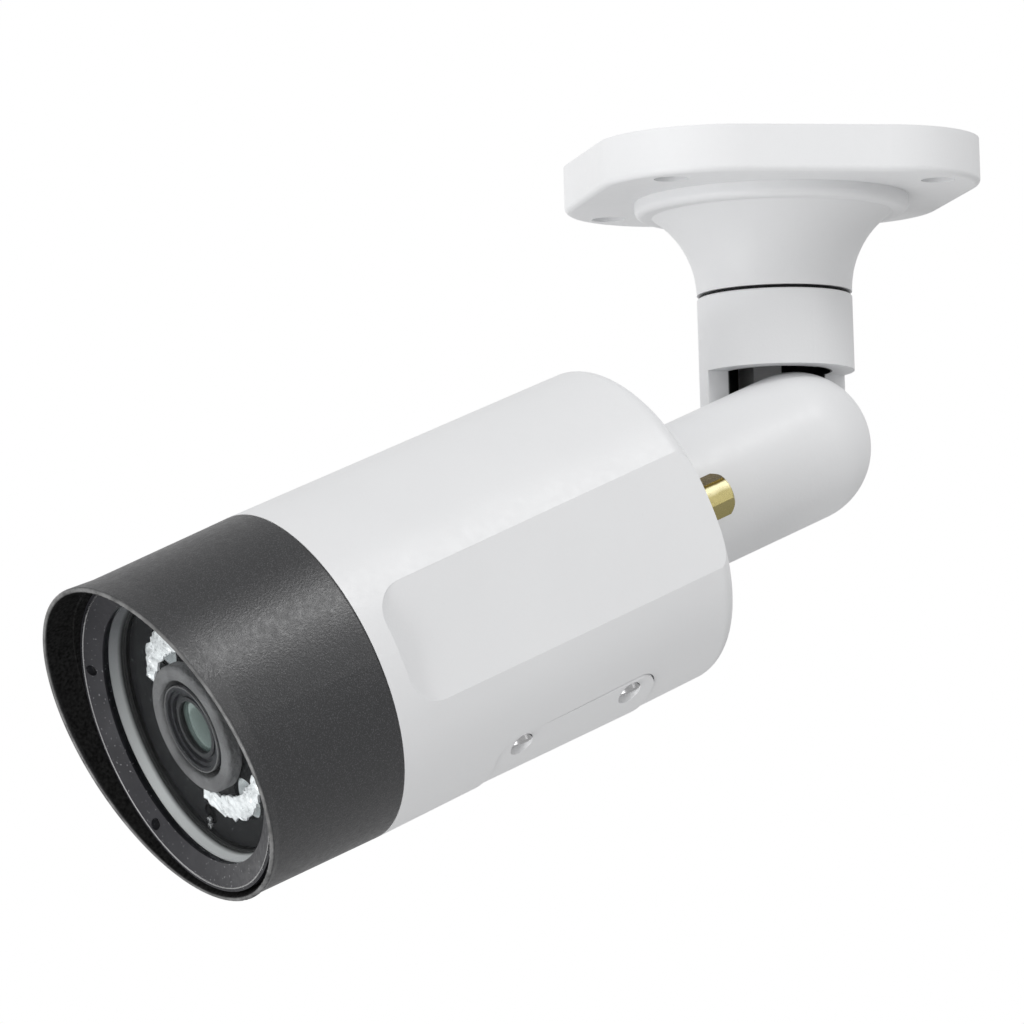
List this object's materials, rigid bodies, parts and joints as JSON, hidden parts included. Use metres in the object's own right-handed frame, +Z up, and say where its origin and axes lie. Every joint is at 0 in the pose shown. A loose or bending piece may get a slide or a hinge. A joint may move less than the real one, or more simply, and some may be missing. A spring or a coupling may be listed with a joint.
{
  "type": "bullet security camera",
  "caption": "Bullet security camera on a ceiling bracket: rounded-square plate, flared neck, turning collar, tilting arm, white housing and black visored hood.",
  "frame": {"origin": "centre of the plate's ceiling face", "axes": "+Z up out of the ceiling face, plate sides along X and Y; the camera points towards -Y, turned 14.6 degrees towards +X and tilted 23.4 degrees down"},
  "size_m": [0.1172, 0.1985, 0.1554],
  "materials": {
    "white_paint": "fine powder coat",
    "hood_black": "fine satin powder coat",
    "black_plastic": "matt",
    "grey_ring": "satin",
    "rubber": "matt",
    "foam": "soft matt",
    "steel": "plain",
    "brass": "polished",
    "glass": "clear",
    "lens_glass": "coated",
    "optic_clear": "moulded",
    "reflector": "bright",
    "board_green": "solder mask",
    "board_white": "white solder mask",
    "chip_black": "moulded",
    "emitter": "clear resin",
    "sensor_glass": "coated",
    "plate_alu": "sheet",
    "ribbon": "flat cable",
    "lead": "thin coax",
    "white_cap": "moulded"
  },
  "bodies": {
    "base": {"base_plate": "white_paint", "wall_gasket": "foam", "pan_lock_screw": "steel"},
    "swivel": {"pan_washer": "steel", "pan_nut": "steel", "pan_seam_ring": "black_plastic", "swivel_collar": "white_paint", "tilt_disc": "black_plastic", "pivot_cap": "white_cap"},
    "arm": {"arm_shell": "white_paint", "tilt_bolt": "steel", "tilt_washer": "steel", "roll_spindle": "steel", "roll_washer": "steel", "roll_nut": "steel"},
    "camera": {"rear_housing": "white_paint", "roll_seal": "rubber", "antenna_socket": "brass", "antenna_washer": "steel", "antenna_nut": "brass", "front_hood": "hood_black", "bezel_ring": "black_plastic", "bezel_screws": "steel", "window_ring": "grey_ring", "front_window": "glass", "window_gasket": "rubber", "hood_seal": "rubber", "led_board": "board_white", "led_chips": "emitter", "ir_reflectors": "reflector", "ir_optics": "optic_clear", "front_mask": "black_plastic", "light_sensor": "optic_clear", "lens_foam_ring": "foam", "lens_barrel": "black_plastic", "lens_front_glass": "lens_glass", "lens_inner_glass": "lens_glass", "lens_retainer": "plate_alu", "lens_holder": "black_plastic", "image_sensor": "sensor_glass", "sensor_board": "board_green", "board_frame": "plate_alu", "main_board": "board_green", "main_chips": "chip_black", "board_screws": "steel", "ribbon_cable": "ribbon", "card_socket": "steel", "reset_switch": "chip_black", "antenna_lead": "lead"},
    "door": {"access_door": "white_paint", "door_screws": "steel", "door_gasket": "rubber"},
    "cut_filter": {"ir_cut_filter": "chip_black"},
    "button": {"reset_button": "white_cap"}
  },
  "joints": [
    {"name": "pan", "type": "hinge", "parent": "base", "child": "swivel", "pos_m": [0, 0, -0.0295], "axis": [0, 0, 1], "range_deg": [-180, 180]},
    {"name": "tilt", "type": "hinge", "parent": "swivel", "child": "arm", "pos_m": [0, 0, -0.0619], "axis": [0.9677, 0.2521, 0], "range_deg": [-23.4, 66.6]},
    {"name": "roll", "type": "hinge", "parent": "arm", "child": "camera", "pos_m": [0.00629, 0.00164, -0.0619], "axis": [0.2313, -0.8881, -0.3971], "range_deg": [-180, 180]},
    {"name": "door_lift", "type": "slide", "parent": "camera", "child": "door", "axis": [-0.1001, 0.3843, -0.9178], "range_m": [0, 0.03]},
    {"name": "filter_slide", "type": "slide", "parent": "camera", "child": "cut_filter", "axis": [0.9677, 0.2521, 0], "range_m": [0, 0.0043]},
    {"name": "reset_press", "type": "slide", "parent": "camera", "child": "button", "axis": [0.1001, -0.3843, 0.9178], "range_m": [0, 0.0005], "stiffness_N_per_m": 1500}
  ]
}
